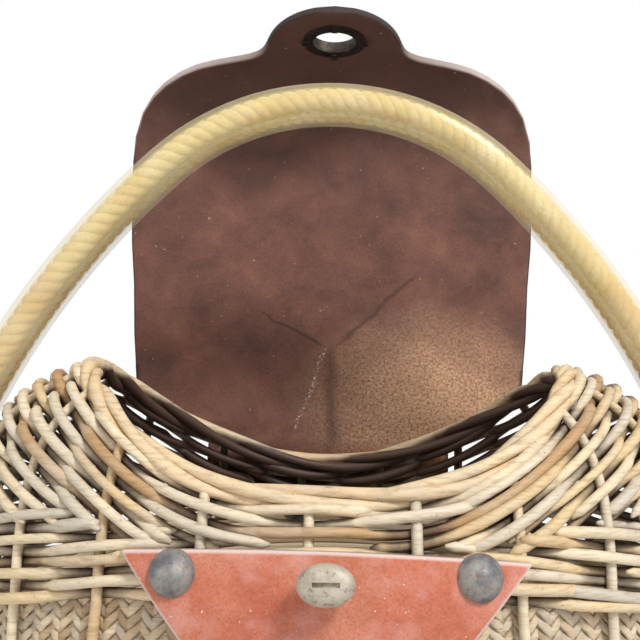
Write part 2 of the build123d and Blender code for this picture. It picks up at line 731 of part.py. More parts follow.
# ================================================================ nodes
NODES = {
    "basket_base": base,
    "foot_border": foot,
    "lower_wall": lower_wall,
    "plaited_band": braid,
    "side_stakes": together(stakes),
    "upper_wall": upper_wall,
    "rim_border": rim_border,
    "front_patch": front_patch,
    "patch_rivets": together(patch_rivets),
    "patch_rivet_washers": together(patch_washers),
    "lock_collar": lock_collar,
    "lock_backplate": lock_backplate,
    "turn_knob": turn_knob,
    "knob_spindle": knob_spindle,
    "hinge_strip": hinge_strip,
    "strip_rivets": together(strip_rivets),
    "strip_rivet_washers": together(strip_washers),
    "lid_rear": lid_rear,
    "lid_front": lid_front,
    "lid_flap": lid_flap,
    "eyelet_front": eyelet_front,
    "eyelet_back": eyelet_back,
    "handle_tube_front": handle_tube(-TUBE_SPACING / 2),
    "handle_tube_rear": handle_tube(TUBE_SPACING / 2),
    "rope_core_front": along_arch(-TUBE_SPACING / 2, ROPE_R),
    "rope_core_rear": along_arch(TUBE_SPACING / 2, ROPE_R),
}
for label, side in (("left", -1), ("right", 1)):
    NODES[f"handle_yoke_{label}"] = yoke(side)
    NODES[f"pivot_stud_{label}"] = pivot_stud(side)
    NODES[f"stud_spacer_{label}"] = stud_spacer(side)
    NODES[f"stud_nut_{label}"] = stud_nut(side)
    NODES[f"end_pad_{label}"] = end_pad(side)

for name, shape in NODES.items():
    solids = list(shape.solids())
    part = solids[0] if len(solids) == 1 else Compound(children=solids)
    export_step(part, f"parts/{name}.step")
    box = part.bounding_box()
    print(f"{name:22s} {len(solids):3d} solids  {part.volume:12.1f} mm3  {box}")
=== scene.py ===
"""Looks of a wicker creel: woven willow, plaited straw, worn leather and a twin-tube handle."""

import math

import bpy
import numpy as np
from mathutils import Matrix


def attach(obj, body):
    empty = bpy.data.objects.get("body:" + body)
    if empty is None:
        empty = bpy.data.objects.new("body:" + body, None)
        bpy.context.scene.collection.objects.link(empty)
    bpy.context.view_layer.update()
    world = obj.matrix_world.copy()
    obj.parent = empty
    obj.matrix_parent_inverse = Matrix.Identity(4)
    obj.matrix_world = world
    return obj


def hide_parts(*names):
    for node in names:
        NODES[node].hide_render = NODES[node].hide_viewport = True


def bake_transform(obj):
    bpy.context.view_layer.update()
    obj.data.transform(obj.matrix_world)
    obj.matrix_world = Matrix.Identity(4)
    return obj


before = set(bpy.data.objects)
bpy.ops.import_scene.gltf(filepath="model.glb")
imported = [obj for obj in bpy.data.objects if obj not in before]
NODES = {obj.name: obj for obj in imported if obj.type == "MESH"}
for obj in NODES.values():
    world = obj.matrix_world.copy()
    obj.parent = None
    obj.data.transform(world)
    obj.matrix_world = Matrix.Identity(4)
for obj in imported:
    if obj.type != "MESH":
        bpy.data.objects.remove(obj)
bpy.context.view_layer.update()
rng = np.random.default_rng(7)
MM = 0.001


# ======== basket surface, in millimetres
HALF_WIDTH, HALF_DEPTH = 144.0, 80.0
WIDEST_Z_SIDE, WIDEST_Z_FRONT = 85.0, 100.0
CROWN_Z_SIDE, CROWN_Z_FRONT = 188.0, 192.0
BASE_SQUARENESS = 0.4
MOUTH_HALF_WIDTH, MOUTH_HALF_DEPTH = 99.0, 66.0
RIM_FRONT_Z, RIM_BACK_Z = 138.5, 133.0
HORN_RISE_FRONT, HORN_RISE_BACK = 43.0, 49.0
BAND_FALL, BAND_FALL_AT = 20.0, 150.0


def half_width(z):
    """Half the creel's width at height z, on the wall's middle surface."""
    low = HALF_WIDTH * (1 - 0.08 * (np.clip(WIDEST_Z_SIDE - z, 0, None) / WIDEST_Z_SIDE) ** 2)
    rise = np.clip((z - WIDEST_Z_SIDE) / (CROWN_Z_SIDE - WIDEST_Z_SIDE), 0, 0.9999)
    return np.where(z < WIDEST_Z_SIDE, low, HALF_WIDTH * (1 - rise**5) ** 0.4)


def half_depth(z):
    """Half the creel's depth at height z, on the wall's middle surface."""
    low = HALF_DEPTH * (1 - 0.10 * (np.clip(WIDEST_Z_FRONT - z, 0, None) / WIDEST_Z_FRONT) ** 2)
    rise = np.clip((z - WIDEST_Z_FRONT) / (CROWN_Z_FRONT - WIDEST_Z_FRONT), 0, 0.9999)
    return np.where(z < WIDEST_Z_FRONT, low, HALF_DEPTH * (1 - rise**1.5) ** 0.6)


def plan_power(z):
    """Exponent of the plan's oval at height z, squarer towards the base."""
    return 2 + BASE_SQUARENESS * np.clip(1 - z / WIDEST_Z_FRONT, 0, None)


def wall_point(phi, z):
    """Point of the wall's middle surface at a plan angle and a height."""
    phi, z = np.broadcast_arrays(np.asarray(phi, float), np.asarray(z, float))
    power = 2 / plan_power(z)
    c, s = np.cos(phi), np.sin(phi)
    x = half_width(z) * np.sign(c) * np.abs(c) ** power
    y = half_depth(z) * np.sign(s) * np.abs(s) ** power
    return np.stack([x, y, z], -1)


def unit(v):
    """Vectors scaled to length one."""
    return v / np.maximum(np.linalg.norm(v, axis=-1, keepdims=True), 1e-9)


def wall_normal(phi, z):
    """Outward normal of the wall."""
    around = wall_point(phi + 0.004, z) - wall_point(phi - 0.004, z)
    up = wall_point(phi, z + 0.3) - wall_point(phi, z - 0.3)
    return unit(np.cross(around, up))


def wall(phi, z, offset=0.0):
    """Point of the wall moved outwards by offset."""
    phi, z = np.broadcast_arrays(np.asarray(phi, float), np.asarray(z, float))
    return wall_point(phi, z) + wall_normal(phi, z) * np.asarray(offset, float)[..., None]


def rim_height(x, y):
    """Saddle of the mouth's edge."""
    reach = np.abs(x) / MOUTH_HALF_WIDTH
    front = RIM_FRONT_Z + HORN_RISE_FRONT * reach**2.8
    back = RIM_BACK_Z + HORN_RISE_BACK * reach**2
    share = 0.5 * (1 + y / MOUTH_HALF_DEPTH)
    return front * (1 - share) + back * share


def level(base, x):
    """Height of an arched row that falls towards the ends."""
    return base - BAND_FALL * (x / BAND_FALL_AT) ** 2


def solve_height(phi, target):
    """Height at which the wall at phi meets the surface z = target(x, y)."""
    low, high = np.full_like(phi, 5.0), np.full_like(phi, 187.5)
    for _ in range(40):
        mid = (low + high) / 2
        p = wall_point(phi, mid)
        below = mid < target(p[..., 0], p[..., 1])
        low, high = np.where(below, mid, low), np.where(below, high, mid)
    return (low + high) / 2


# -------- stakes and meridians
STAKES = 19
FIRST_STAKE_X = -6.0
FIELD_STEPS = 80
PHI = np.linspace(-np.pi, np.pi, 721)
_ring = wall_point(PHI, 104.0)
_run = np.concatenate([[0], np.cumsum(np.linalg.norm(np.diff(_ring, axis=0), axis=1))])
PERIMETER = _run[-1]
_first = np.argmin(np.where(_ring[:, 1] < 0, np.abs(_ring[:, 0] - FIRST_STAKE_X), 1e9))


def phi_of(u):
    """Plan angle of stake number u; whole numbers are stakes."""
    run = (_run[_first] + np.asarray(u, float) * PERIMETER / STAKES) % PERIMETER
    return np.interp(run, _run, PHI)


class Field:
    """A stretch of wall between two heights, measured along the wall from 0 to 1."""

    def __init__(self, low, high):
        self.low = solve_height(PHI, low)
        self.high = solve_height(PHI, high)
        share = np.linspace(0, 1, FIELD_STEPS + 1)
        t = share[:, None]
        z = self.low * (1 - t) + self.high * t
        p = wall_point(PHI[None, :], z)
        steps = np.linalg.norm(np.diff(p, axis=0), axis=2)
        run = np.vstack([np.zeros(len(PHI)), np.cumsum(steps, axis=0)])
        self.length = run[-1]
        self.table = np.stack(
            [np.interp(share * run[-1, i], run[:, i], z[:, i]) for i in range(len(PHI))]
        )

    def height(self, phi, v):
        """Height at a plan angle, a share v of the way up."""
        phi = (np.asarray(phi, float) + np.pi) % (2 * np.pi)
        a = phi / (2 * np.pi) * (len(PHI) - 1)
        b = np.clip(v, 0, 1) * FIELD_STEPS
        i = np.clip(a.astype(int), 0, len(PHI) - 2)
        j = np.clip(b.astype(int), 0, FIELD_STEPS - 1)
        fa, fb = a - i, b - j
        row0 = self.table[i, j] * (1 - fb) + self.table[i, j + 1] * fb
        row1 = self.table[i + 1, j] * (1 - fb) + self.table[i + 1, j + 1] * fb
        return row0 * (1 - fa) + row1 * fa

    def span(self, phi):
        """Length of the meridian at a plan angle."""
        return np.interp((np.asarray(phi) + np.pi) % (2 * np.pi) - np.pi, PHI, self.length)


BAND_TOP, BAND_HEIGHT, FOOT = 104.0, 34.0, 9.0
upper = Field(lambda x, y: level(BAND_TOP + 1.5, x), lambda x, y: rim_height(x, y) - 4.0)
lower = Field(lambda x, y: x * 0 + FOOT + 1.5, lambda x, y: level(BAND_TOP - BAND_HEIGHT - 1.0, x))


# ======== meshes
def make_mesh(name, verts, faces, attributes):
    """Object from points in millimetres; attributes are one number per point."""
    mesh = bpy.data.meshes.new(name)
    mesh.from_pydata((np.asarray(verts) * MM).tolist(), [], faces)
    for key, values in attributes.items():
        layer = mesh.attributes.new(key, "FLOAT", "POINT")
        layer.data.foreach_set("value", np.asarray(values, np.float32))
    mesh.polygons.foreach_set("use_smooth", [True] * len(mesh.polygons))
    mesh.validate()
    mesh.update()
    obj = bpy.data.objects.new(name, mesh)
    bpy.context.scene.collection.objects.link(obj)
    return obj


FACES_OUT = 3.0  # depth of a rod that the material treats as outside


class Rods:
    """Collects round or flat rods along paths into one mesh."""

    def __init__(self):
        self.verts, self.faces, self.rod, self.along, self.depth = [], [], [], [], []
        self.count = 0

    def add(
        self, path, radius, sides=8, flat=1.0, up=None, taper=0.0, closed=False, wall_offset=None, normal=None
    ):
        """A rod along path; radius may vary; flat is its thickness over its width.

        wall_offset and normal give each point's place in the wall, so that the side of a
        rod that faces the creel's inside can be darker, partly as dirt and partly as painted shade.
        """
        path = np.asarray(path, float)
        n = len(path)
        radius = np.broadcast_to(np.asarray(radius, float), (n,)).copy()
        if taper:
            ends = max(2, int(n * taper))
            ramp = np.sqrt(np.linspace(0.12, 1, ends))
            radius[:ends] *= ramp
            radius[-ends:] *= ramp[::-1]
        if closed:
            tangent = unit(np.roll(path, -1, 0) - np.roll(path, 1, 0))
        else:
            tangent = unit(np.gradient(path, axis=0))
        side = np.zeros((n, 3))
        if up is None:
            ref = np.array([0.0, 0.0, 1.0])
            if abs(tangent[0] @ ref) > 0.9:
                ref = np.array([1.0, 0.0, 0.0])
            current = ref
            for i in range(n):
                current = current - tangent[i] * (current @ tangent[i])
                current = current / max(np.linalg.norm(current), 1e-9)
                side[i] = current
        else:
            up = np.broadcast_to(np.asarray(up, float), (n, 3))
            side = unit(up - tangent * np.sum(up * tangent, 1, keepdims=True))
        across = np.cross(tangent, side)
        angle = np.linspace(0, 2 * np.pi, sides, endpoint=False)
        ring = (
            path[:, None, :]
            + radius[:, None, None] * np.cos(angle)[None, :, None] * across[:, None, :]
            + radius[:, None, None] * flat * np.sin(angle)[None, :, None] * side[:, None, :]
        )
        base = self.count
        self.verts.append(ring.reshape(-1, 3))
        last = n if closed else n - 1
        for i in range(last):
            a, b = base + i * sides, base + ((i + 1) % n) * sides
            for k in range(sides):
                m = (k + 1) % sides
                self.faces.append((a + k, a + m, b + m, b + k))
        if not closed:
            self.faces.append(tuple(base + k for k in range(sides))[::-1])
            self.faces.append(tuple(base + (n - 1) * sides + k for k in range(sides)))
        steps = np.concatenate([[0], np.cumsum(np.linalg.norm(np.diff(path, axis=0), axis=1))])
        self.rod.append(np.full(n * sides, rng.random()))
        if normal is None:
            self.depth.append(np.full(n * sides, FACES_OUT))
        else:
            outwards = np.sum((ring - path[:, None, :]) * normal[:, None, :], -1)
            self.depth.append((outwards + np.broadcast_to(wall_offset, (n,))[:, None]).ravel())
        self.along.append(np.repeat(steps, sides))
        self.count += n * sides

    def build(self, name):
        """The collected rods as an object."""
        return make_mesh(
            name,
            np.concatenate(self.verts),
            self.faces,
            {
                "rod": np.concatenate(self.rod),
                "along": np.concatenate(self.along),
                "depth": np.concatenate(self.depth),
            },
        )


# ======== materials
def material(name):
    """New node material, its tree and its principled shader."""
    mat = bpy.data.materials.new(name)
    mat.use_nodes = True
    tree = mat.node_tree
    return mat, tree, tree.nodes["Principled BSDF"]


class Graph:
    """Short calls for building shader nodes."""

    def __init__(self, tree):
        self.tree = tree

    def node(self, kind, **settings):
        """A node, with its inputs given by name or number and its properties by name."""
        item = self.tree.nodes.new(kind)
        inputs = settings.pop("inputs", {})
        for key, value in settings.items():
            setattr(item, key, value)
        for key, value in inputs.items():
            socket = item.inputs[key]
            if isinstance(value, bpy.types.NodeSocket):
                self.tree.links.new(value, socket)
            else:
                socket.default_value = value
        return item

    def coords(self, scale=(1, 1, 1)):
        """Object coordinates in millimetres, stretched by scale."""
        texture = self.node("ShaderNodeTexCoord")
        stretch = tuple(1000.0 * s for s in scale)
        mapping = self.node(
            "ShaderNodeMapping", inputs={"Vector": texture.outputs["Object"], "Scale": stretch}
        )
        return mapping.outputs["Vector"]

    def noise(self, vector, scale, detail=4.0, rough=0.55, distortion=0.0):
        """Noise value from 0 to 1; scale is in features per millimetre."""
        item = self.node(
            "ShaderNodeTexNoise",
            inputs={
                "Vector": vector,
                "Scale": scale,
                "Detail": detail,
                "Roughness": rough,
                "Distortion": distortion,
            },
        )
        return item.outputs["Fac"]

    def ramp(self, value, stops):
        """Colours over a value; stops are (position, hexadecimal colour or grey)."""
        item = self.node("ShaderNodeValToRGB", inputs={"Fac": value})
        ramp = item.color_ramp
        while len(ramp.elements) < len(stops):
            ramp.elements.new(0.5)
        for element, (place, colour) in zip(ramp.elements, stops):
            element.position = place
            element.color = rgba(colour)
        return item.outputs["Color"]

    def mix(self, factor, a, b, blend="MIX"):
        """Two colours mixed."""
        item = self.node("ShaderNodeMix", data_type="RGBA", blend_type=blend)
        for socket, value in ((item.inputs[0], factor), (item.inputs[6], a), (item.inputs[7], b)):
            if isinstance(value, bpy.types.NodeSocket):
                self.tree.links.new(value, socket)
            elif isinstance(value, (int, float)):
                socket.default_value = value if socket.type == "VALUE" else (value, value, value, 1)
            else:
                socket.default_value = rgba(value)
        return item.outputs[2]

    def math(self, kind, a, b=0.0):
        """Arithmetic on two values."""
        return self.node("ShaderNodeMath", operation=kind, inputs={0: a, 1: b}).outputs[0]

    def vector(self, kind, *inputs, output="Vector"):
        """Arithmetic on vectors."""
        item = self.node("ShaderNodeVectorMath", operation=kind, inputs=dict(enumerate(inputs)))
        return item.outputs[output]

    def spread(self, value, low, high, first, last):
        """A value between low and high mapped to first and last, and held there."""
        item = self.node(
            "ShaderNodeMapRange",
            inputs={"Value": value, "From Min": low, "From Max": high, "To Min": first, "To Max": last},
        )
        return item.outputs[0]

    def not_lit(self):
        """1 for the rays that show the background: to the camera, or off gloss, or through glass."""
        path = self.node("ShaderNodeLightPath").outputs
        clear = self.math("MAXIMUM", path["Is Glossy Ray"], path["Is Transmission Ray"])
        return self.math("MAXIMUM", path["Is Camera Ray"], clear)

    def attribute(self, name):
        """Number stored on the mesh's points."""
        return self.node("ShaderNodeAttribute", attribute_name=name).outputs["Fac"]

    def bump(self, height, strength, distance, normal=None):
        """Normal from a height; distance in millimetres."""
        inputs = {"Height": height, "Strength": strength, "Distance": distance * MM}
        if normal is not None:
            inputs["Normal"] = normal
        return self.node("ShaderNodeBump", inputs=inputs).outputs["Normal"]


def rgba(colour):
    """Linear colour from a hexadecimal sRGB string or a grey value."""
    if isinstance(colour, (int, float)):
        return (colour, colour, colour, 1.0)
    values = [int(colour[i : i + 2], 16) / 255 for i in (0, 2, 4)]
    linear = [v / 12.92 if v <= 0.04045 else ((v + 0.055) / 1.055) ** 2.4 for v in values]
    return (*linear, 1.0)


def willow_material(name, pale, mid, dark, grey, inside="4a362b"):
    """Dry peeled rods: each rod its own tone, long streaks, grey weathering, an inside darkened by dirt and
    painted shade.
    """
    mat, tree, shader = material(name)
    g = Graph(tree)
    rod, along, depth = g.attribute("rod"), g.attribute("along"), g.attribute("depth")
    tone = g.ramp(rod, [(0.0, dark), (0.22, mid), (0.6, pale), (1.0, grey)])
    place = g.coords()
    blotch = g.noise(place, 0.03, 5.0, 0.6)
    tone = g.mix(g.math("MULTIPLY", g.ramp(blotch, [(0.45, 0.0), (0.62, 1.0)]), 0.5), tone, grey)
    lengthwise = g.node(
        "ShaderNodeCombineXYZ",
        inputs={"X": g.math("MULTIPLY", along, 0.06), "Y": g.math("MULTIPLY", rod, 40.0)},
    ).outputs[0]
    streak_place = g.vector("ADD", lengthwise, g.coords((0.05, 0.05, 0.7)))
    streak = g.noise(streak_place, 1.3, 5.0, 0.6)
    streak_tone = g.ramp(streak, [(0.3, "a99a88"), (0.48, "eee8de"), (0.7, "ffffff")])
    tone = g.mix(0.6, tone, streak_tone, "MULTIPLY")
    knots = g.noise(place, 0.35, 4.0, 0.75)
    tone = g.mix(g.ramp(knots, [(0.62, 0.0), (0.74, 0.7)]), tone, "7a5a44")
    # Darker towards the creel's inside and on the rod sides facing it: partly real dirt, partly painted
    # shade.
    dirt_and_shade_depth = g.math("ADD", depth, g.math("MULTIPLY", g.noise(place, 0.12, 4.0, 0.6), 2.4))
    inside_dirt_and_shade = g.ramp(g.math("MULTIPLY", g.math("ADD", dirt_and_shade_depth, 3.0), 0.125), [(0.3, 1.0), (0.56, 0.0)])
    tone = g.mix(inside_dirt_and_shade, tone, inside)
    tree.links.new(tone, shader.inputs["Base Color"])
    shader.inputs["Roughness"].default_value = 0.55
    shader.inputs["Specular IOR Level"].default_value = 0.4
    fine = g.bump(streak, 0.5, 0.22)
    tree.links.new(g.bump(knots, 0.4, 0.5, fine), shader.inputs["Normal"])
    return mat


def leather_base(name, stops, grain, rough, place_from_mesh):
    """Mottled leather with fine grain; returns what later layers need."""
    mat, tree, shader = material(name)
    g = Graph(tree)
    if place_from_mesh:
        place = g.node(
            "ShaderNodeCombineXYZ", inputs={"X": g.attribute("across"), "Y": g.attribute("along")}
        ).outputs[0]
    else:
        place = g.coords()
    cloud = g.noise(place, 0.03, 6.0, 0.65, 0.3)
    tone = g.ramp(cloud, stops)
    fine = g.noise(place, grain, 5.0, 0.7)
    grain_tone = g.ramp(fine, [(0.3, "8c8c8c"), (0.5, "dedede"), (0.72, "ffffff")])
    tone = g.mix(0.55, tone, grain_tone, "MULTIPLY")
    shader.inputs["Roughness"].default_value = rough
    shader.inputs["Specular IOR Level"].default_value = 0.3
    coarse = g.noise(place, 0.12, 4.0, 0.6)
    normal = g.bump(coarse, 0.5, 1.0, g.bump(fine, 0.5, 0.3))
    return mat, tree, shader, g, place, tone, normal


def patch_material():
    """Terracotta leather with pale flecks, a pinkish bloom and a pale cut edge."""
    stops = [(0.32, "b9624a"), (0.47, "c87459"), (0.6, "d1866c"), (0.75, "d9a292")]
    mat, tree, shader, g, place, tone, normal = leather_base("patch_leather", stops, 1.1, 0.7, False)
    speck = g.noise(place, 0.5, 2.0, 0.5, 0.3)
    tone = g.mix(g.ramp(speck, [(0.72, 0.0), (0.76, 0.8)]), tone, "ecdcd2")
    bloom = g.noise(place, 0.07, 3.0, 0.5)
    tone = g.mix(g.ramp(bloom, [(0.5, 0.0), (0.75, 0.45)]), tone, "d9a6a0")
    tone = g.mix(g.ramp(g.attribute("edge"), [(0.2, 0.0), (0.9, 0.9)]), tone, "dcc9c2")
    tree.links.new(tone, shader.inputs["Base Color"])
    tree.links.new(normal, shader.inputs["Normal"])
    return mat


def crease_mask(g, place, start, stop, width):
    """1 along a wandering crease between two places on the leather, fading over width."""
    swirl = g.node("ShaderNodeTexNoise", inputs={"Vector": place, "Scale": 0.06}).outputs["Color"]
    reach = 8  # millimetres that the crease wanders, half of it each way
    wobble = g.vector("MULTIPLY_ADD", swirl, (reach, reach, 0), place)
    run = np.array(stop, float) - np.array(start, float)
    length = float(np.hypot(*run))
    heading = run / length
    local = g.vector("SUBTRACT", wobble, (start[0] + reach / 2, start[1] + reach / 2, 0))
    ahead = g.vector("DOT_PRODUCT", local, (heading[0], heading[1], 0), output="Value")
    aside = g.vector("DOT_PRODUCT", local, (-heading[1], heading[0], 0), output="Value")
    near = g.ramp(g.math("DIVIDE", g.math("ABSOLUTE", aside), width), [(0.0, 1.0), (1.0, 0.0)])
    off_middle = g.math("ABSOLUTE", g.math("SUBTRACT", g.math("DIVIDE", ahead, length), 0.5))
    within = g.ramp(off_middle, [(0.35, 1.0), (0.52, 0.0)])
    return g.math("MULTIPLY", near, within)


def lid_material():
    """Brown lid leather: reddish mottling, a grainy corner lit with painted sunlight, crease lines darkened
    with painted shade, and worn edges with painted light on the shoulders.
    """
    stops = [(0.3, "513730"), (0.43, "654339"), (0.56, "754d41"), (0.72, "8a604d")]
    mat, tree, shader, g, place, tone, normal = leather_base("lid_suede", stops, 0.8, 0.78, True)
    across, along = g.attribute("across"), g.attribute("along")
    top = g.ramp(g.math("DIVIDE", along, 250.0), [(0.42, 0.0), (0.75, 0.6)])
    tone = g.mix(top, tone, "523a34")
    # Painted light: a pool of sunlight painted on the lower right of the lid's front face, lighter and
    # grainier there.
    dx = g.math("DIVIDE", g.math("SUBTRACT", across, 52.0), 62.0)
    ds = g.math("DIVIDE", g.math("SUBTRACT", along, 16.0), 48.0)
    blob = g.math("ADD", g.math("MULTIPLY", dx, dx), g.math("MULTIPLY", ds, ds))
    ragged = g.math("ADD", blob, g.math("MULTIPLY", g.noise(place, 0.05, 5.0, 0.6), 0.9))
    painted_sun_pool = g.ramp(ragged, [(0.5, 1.0), (1.0, 0.45)])
    painted_sun_pool = g.mix(g.ramp(g.math("MULTIPLY", ragged, 0.5), [(0.5, 0.0), (0.95, 1.0)]), painted_sun_pool, 0.0)
    pores = g.noise(place, 0.75, 4.0, 0.75)
    tan = g.ramp(pores, [(0.36, "7a5442"), (0.48, "b58a6a"), (0.62, "d2ae8f")])
    underside = g.attribute("underside")
    tone = g.mix(g.math("MULTIPLY", painted_sun_pool, g.math("MULTIPLY", underside, 0.95)), tone, tan)
    # Crease lines: real folds in the bump, darkened in the colour with painted shade.
    crease_and_painted_shade = crease_mask(g, place, (2, 48), (46, 90), 1.6)
    crease_and_painted_shade = g.math("MAXIMUM", crease_and_painted_shade, crease_mask(g, place, (-36, 68), (-2, 50), 1.2))
    crease_and_painted_shade = g.math("MAXIMUM", crease_and_painted_shade, crease_mask(g, place, (0, 52), (2, -4), 5.0))
    tone = g.mix(g.math("MULTIPLY", crease_and_painted_shade, 0.6), tone, "3a2822")
    scuff = crease_mask(g, place, (-2, 50), (-16, 4), 1.3)
    dots = g.ramp(g.noise(place, 0.9, 2.0, 0.5), [(0.52, 0.0), (0.6, 1.0)])
    tone = g.mix(g.math("MULTIPLY", g.math("MULTIPLY", scuff, dots), underside), tone, "cdb9a8")
    speck = g.noise(place, 0.45, 2.0, 0.5, 0.3)
    tone = g.mix(g.ramp(speck, [(0.735, 0.0), (0.77, 0.7)]), tone, "c2a99b")
    faded = g.noise(place, 0.018, 3.0, 0.6)
    tone = g.mix(g.ramp(faded, [(0.6, 0.0), (0.75, 0.3)]), tone, "9a7468")
    # Worn cut edge of the leather with painted light: pale where the shoulders catch the light, dark on the
    # sides and the tab.
    worn_edge_and_painted_light = g.ramp(
        g.math("DIVIDE", along, 250.0),
        [(0.6, "2e2422"), (0.7, "b3a29a"), (0.8, "b9a9a4"), (0.86, "8b7b73"), (0.9, "3d332f")],
    )
    tone = g.mix(g.ramp(g.attribute("edge"), [(0.25, 0.0), (0.9, 1.0)]), tone, worn_edge_and_painted_light)
    tree.links.new(tone, shader.inputs["Base Color"])
    tree.links.new(g.bump(crease_and_painted_shade, 0.5, 1.0, normal), shader.inputs["Normal"])
    return mat


def metal_material(name, base, patina, rust, rough=0.45, metallic=0.85, pit=0.35):
    """Old metal with patches of patina, rusty spots and pits."""
    mat, tree, shader = material(name)
    g = Graph(tree)
    place = g.coords()
    cloud = g.noise(place, 0.14, 6.0, 0.65)
    tone = g.ramp(cloud, [(0.36, patina), (0.56, base), (0.7, base)])
    spots = g.noise(place, 0.42, 4.0, 0.7)
    spot_mask = g.ramp(spots, [(0.56, 0.0), (0.66, 0.8)])
    tone = g.mix(spot_mask, tone, rust)
    tree.links.new(tone, shader.inputs["Base Color"])
    shader.inputs["Metallic"].default_value = metallic
    roughness = g.ramp(cloud, [(0.3, min(rough + 0.25, 1.0)), (0.7, rough)])
    tree.links.new(roughness, shader.inputs["Roughness"])
    pits = g.noise(place, 0.9, 3.0, 0.6)
    tree.links.new(g.bump(pits, pit, 0.35), shader.inputs["Normal"])
    return mat


def tube_material():
    """Clear vinyl, gone milky and yellow with age; the rope shows through it."""
    mat, tree, shader = material("clear_tube_vinyl")
    g = Graph(tree)
    cloud = g.noise(g.coords(), 0.05, 4.0, 0.6)
    tree.links.new(g.ramp(cloud, [(0.35, "ecdca0"), (0.7, "f6ecc8")]), shader.inputs["Base Color"])
    shader.inputs["Roughness"].default_value = 0.22
    shader.inputs["Alpha"].default_value = 0.26
    shader.inputs["Specular IOR Level"].default_value = 0.6
    return mat


def rope_material():
    """Golden twisted yarn, browner towards the ends of the handle."""
    mat, tree, shader = material("rope_yarn")
    g = Graph(tree)
    place = g.coords()
    fibre = g.noise(place, 0.9, 5.0, 0.7)
    cloud = g.noise(place, 0.04, 3.0, 0.5)
    tone = g.ramp(cloud, [(0.35, "dfb04f"), (0.6, "f3dd9f")])
    height = g.node("ShaderNodeSeparateXYZ", inputs={0: place}).outputs[2]
    low = g.spread(height, 150.0, 250.0, 0.7, 0.0)
    tone = g.mix(low, tone, "c8853a")
    tone = g.mix(0.45, tone, g.ramp(fibre, [(0.3, "8d7a5a"), (0.6, "ffffff")]), "MULTIPLY")
    tree.links.new(tone, shader.inputs["Base Color"])
    shader.inputs["Roughness"].default_value = 0.7
    tree.links.new(g.bump(fibre, 0.6, 0.4), shader.inputs["Normal"])
    return mat


WILLOW = willow_material("willow_rods", "e8d9bd", "dcc49a", "b8946a", "c6bdae")
WILLOW_RIM = willow_material("willow_border", "ead9bb", "dfc298", "c0966a", "c4b9a8")
STRAW = willow_material("straw_plait", "dccbb0", "cbb595", "a58a6b", "bdae9c", "8d7a66")
LID_LEATHER = lid_material()
PATCH_LEATHER = patch_material()
PEWTER = metal_material("pewter_rivets", "94908a", "6a6a70", "7c5f50", rough=0.5, metallic=0.6)
LOCK_METAL = metal_material("lock_metal", "b7ad9c", "9d9182", "7c6a55", rough=0.55, metallic=0.35, pit=0.25)
EYELET_METAL = metal_material("eyelet_metal", "4a443d", "2b2724", "5d4636", rough=0.5)
YOKE_METAL = metal_material("yoke_brass", "8f7444", "6b5a3c", "4f4330", rough=0.5)
STEEL = metal_material("hidden_steel", "7c7a76", "5b5854", "6b4a35", rough=0.55)
TUBE = tube_material()
ROPE = rope_material()


def dress(node, mat):
    """Gives a CAD piece a material."""
    mesh = NODES[node].data
    mesh.materials.clear()
    mesh.materials.append(mat)
    mesh.polygons.foreach_set("material_index", [0] * len(mesh.polygons))


for node in ("patch_rivets", "strip_rivets"):
    dress(node, PEWTER)
for node in ("lock_collar", "lock_backplate", "turn_knob", "knob_spindle"):
    dress(node, LOCK_METAL)
for node in ("eyelet_front", "eyelet_back"):
    dress(node, EYELET_METAL)
for node in ("patch_rivet_washers", "strip_rivet_washers"):
    dress(node, STEEL)
for side in ("left", "right"):
    dress(f"handle_yoke_{side}", YOKE_METAL)
    for node in ("pivot_stud", "stud_spacer", "stud_nut"):
        dress(f"{node}_{side}", STEEL)
for node in ("handle_tube_front", "handle_tube_rear"):
    dress(node, TUBE)


# ======== woven walls
ROD_R = 2.0
WEAVE_SWING = 3.2
YOKE_SIDE_SWING = 1.9  # how far rods stand out where the handle's yokes pass them
STEPS_PER_STAKE = 11
LOW_ROUNDS, HIGH_ROUNDS, LOWER_WALL_ROUNDS = 4, 3, 15
ROUND_PITCH, PACK_PITCH, TOP_SHARE = 4.2, 4.1, 0.68
OVERLAP = (0.45, 0.55)  # stakes by which rods of a round pass each other


def weave_rod(rods, field, u, height, parity, radius, outside_end=False):
    """A rod along stakes u, height millimetres up the field, in front of every other stake."""
    phi = phi_of(u % STAKES)
    swing = np.cos(np.pi * (u + parity))
    offset = WEAVE_SWING * np.sign(swing) * np.abs(swing) ** 0.65
    tail = np.clip(1 - np.minimum(u - u[0], u[-1] - u) / 0.45, 0, 1)
    ends = 1.2 if outside_end else -1.5
    offset = offset * (1 - 0.5 * tail) + ends * tail
    seed = rng.uniform(0, 6.28, 2)
    height = height + 0.45 * np.sin(1.9 * u + seed[0]) + 0.3 * np.sin(3.7 * u + seed[1])
    z = field.height(phi, height / field.span(phi))
    beside_yoke = np.clip((np.abs(wall(phi, z, 0 * z)[..., 0]) - 118) / 12, 0, 1) * (z > 100)
    offset = offset - np.maximum(offset - YOKE_SIDE_SWING, 0) * beside_yoke
    thinning = np.linspace(1.1, 0.88, len(u))[:: int(rng.choice((-1, 1)))]
    radius = radius * thinning
    normal = wall_normal(phi, z)
    rods.add(wall(phi, z, offset), radius, taper=0.012, wall_offset=offset, normal=normal)


def stretches():
    """Start and stop of the rods that make up one round, each overlapping the next."""
    at = rng.uniform(0, 6)
    stop_all = at + STAKES
    while at < stop_all:
        stop = at + int(rng.integers(6, 11))
        if stop > stop_all - 3:
            stop = stop_all
        yield at - OVERLAP[0], stop + OVERLAP[1]
        at = stop


def round_rods(rods, field, height_of, parity):
    """One full round of weaving, its height given by a function of the plan angle."""
    for start, stop in stretches():
        u = np.linspace(start, stop, int((stop - start) * STEPS_PER_STAKE))
        radius = ROD_R * rng.uniform(0.9, 1.1)
        weave_rod(rods, field, u, height_of(phi_of(u % STAKES)), parity, radius, rng.random() < 0.5)


